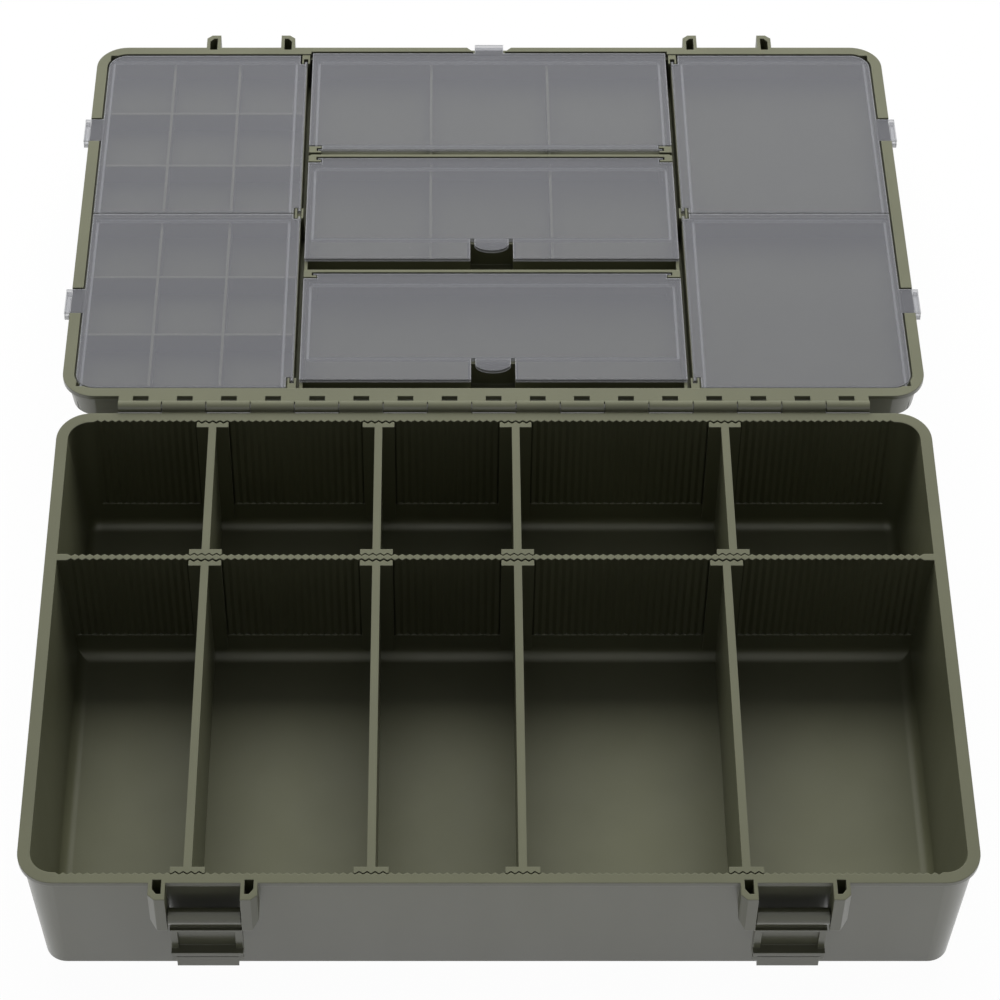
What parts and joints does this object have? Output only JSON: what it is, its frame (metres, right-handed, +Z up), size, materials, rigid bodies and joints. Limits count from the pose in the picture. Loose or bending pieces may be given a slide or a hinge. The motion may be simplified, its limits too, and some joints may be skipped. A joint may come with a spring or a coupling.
{
  "type": "tackle box",
  "caption": "Flat moulded tackle box with a hinged lid of clear-covered compartments, lift-out dividers in serrated bays and flip latches.",
  "frame": {"origin": "middle of the base's flat underside", "axes": "+X to the right as the user faces the latches, +Y towards the hinge, +Z up"},
  "size_m": [0.368, 0.4899, 0.0678],
  "materials": {
    "olive_shell": "fine satin moulded olive plastic",
    "olive_divider": "satin moulded olive plastic",
    "olive_latch": "satin moulded olive plastic, a little shinier",
    "clear_cover": "clear frosted moulded plastic",
    "steel_rod": "drawn steel rod"
  },
  "bodies": {
    "base": {"base_tub": "olive_shell", "hinge_pin": "steel_rod"},
    "lid": {"lid_shell": "olive_shell", "cells_left_near": "olive_shell", "cells_left_far": "olive_shell", "cells_centre_far": "olive_shell", "cells_centre_middle": "olive_shell"},
    "latch_left": {"latch_left": "olive_latch"},
    "latch_right": {"latch_right": "olive_latch"},
    "divider_front_1": {"divider_front_1": "olive_divider"},
    "divider_front_2": {"divider_front_2": "olive_divider"},
    "divider_front_3": {"divider_front_3": "olive_divider"},
    "divider_front_4": {"divider_front_4": "olive_divider"},
    "divider_rear_1": {"divider_rear_1": "olive_divider"},
    "divider_rear_2": {"divider_rear_2": "olive_divider"},
    "divider_rear_3": {"divider_rear_3": "olive_divider"},
    "divider_rear_4": {"divider_rear_4": "olive_divider"},
    "cover_left_near": {"cover_left_near": "clear_cover"},
    "cover_left_far": {"cover_left_far": "clear_cover"},
    "cover_right_near": {"cover_right_near": "clear_cover"},
    "cover_right_far": {"cover_right_far": "clear_cover"},
    "cover_centre_far": {"cover_centre_far": "clear_cover"},
    "cover_centre_middle": {"cover_centre_middle": "clear_cover"},
    "cover_centre_near": {"cover_centre_near": "clear_cover"}
  },
  "joints": [
    {"name": "lid_hinge", "type": "hinge", "parent": "base", "child": "lid", "pos_m": [0, 0.1194, 0.0652], "axis": [-1, 0, 0], "range_deg": [-184.6, 0]},
    {"name": "latch_left_swing", "type": "hinge", "parent": "base", "child": "latch_left", "pos_m": [-0.1109, -0.1205, 0.0493], "axis": [-1, 0, 0], "range_deg": [0, 180]},
    {"name": "latch_right_swing", "type": "hinge", "parent": "base", "child": "latch_right", "pos_m": [0.1109, -0.1205, 0.0493], "axis": [-1, 0, 0], "range_deg": [0, 180]},
    {"name": "cover_left_near_flip", "type": "hinge", "parent": "lid", "child": "cover_left_near", "pos_m": [-0.0849, 0.18468, 0.05854], "axis": [0, 0.9968, -0.0802], "range_deg": [0, 88]},
    {"name": "cover_left_far_flip", "type": "hinge", "parent": "lid", "child": "cover_left_far", "pos_m": [-0.0849, 0.29831, 0.0494], "axis": [0, 0.9968, -0.0802], "range_deg": [0, 88]},
    {"name": "cover_right_near_flip", "type": "hinge", "parent": "lid", "child": "cover_right_near", "pos_m": [0.0849, 0.18468, 0.05854], "axis": [0, -0.9968, 0.0802], "range_deg": [0, 88]},
    {"name": "cover_right_far_flip", "type": "hinge", "parent": "lid", "child": "cover_right_far", "pos_m": [0.0849, 0.29831, 0.0494], "axis": [0, -0.9968, 0.0802], "range_deg": [0, 88]},
    {"name": "cover_centre_far_flip", "type": "hinge", "parent": "lid", "child": "cover_centre_far", "pos_m": [0, 0.28485, 0.05048], "axis": [1, 0, 0], "range_deg": [0, 88]},
    {"name": "cover_centre_middle_flip", "type": "hinge", "parent": "lid", "child": "cover_centre_middle", "pos_m": [0, 0.27867, 0.05098], "axis": [-1, 0, 0], "range_deg": [0, 88]},
    {"name": "cover_centre_near_flip", "type": "hinge", "parent": "lid", "child": "cover_centre_near", "pos_m": [0, 0.20192, 0.05716], "axis": [-1, 0, 0], "range_deg": [0, 88]},
    {"name": "divider_front_1_lift", "type": "slide", "parent": "base", "child": "divider_front_1", "axis": [0, 0, 1], "range_m": [0, 0.058]},
    {"name": "divider_front_2_lift", "type": "slide", "parent": "base", "child": "divider_front_2", "axis": [0, 0, 1], "range_m": [0, 0.058]},
    {"name": "divider_front_3_lift", "type": "slide", "parent": "base", "child": "divider_front_3", "axis": [0, 0, 1], "range_m": [0, 0.058]},
    {"name": "divider_front_4_lift", "type": "slide", "parent": "base", "child": "divider_front_4", "axis": [0, 0, 1], "range_m": [0, 0.058]},
    {"name": "divider_rear_1_lift", "type": "slide", "parent": "base", "child": "divider_rear_1", "axis": [0, 0, 1], "range_m": [0, 0.058]},
    {"name": "divider_rear_2_lift", "type": "slide", "parent": "base", "child": "divider_rear_2", "axis": [0, 0, 1], "range_m": [0, 0.058]},
    {"name": "divider_rear_3_lift", "type": "slide", "parent": "base", "child": "divider_rear_3", "axis": [0, 0, 1], "range_m": [0, 0.058]},
    {"name": "divider_rear_4_lift", "type": "slide", "parent": "base", "child": "divider_rear_4", "axis": [0, 0, 1], "range_m": [0, 0.058]}
  ]
}
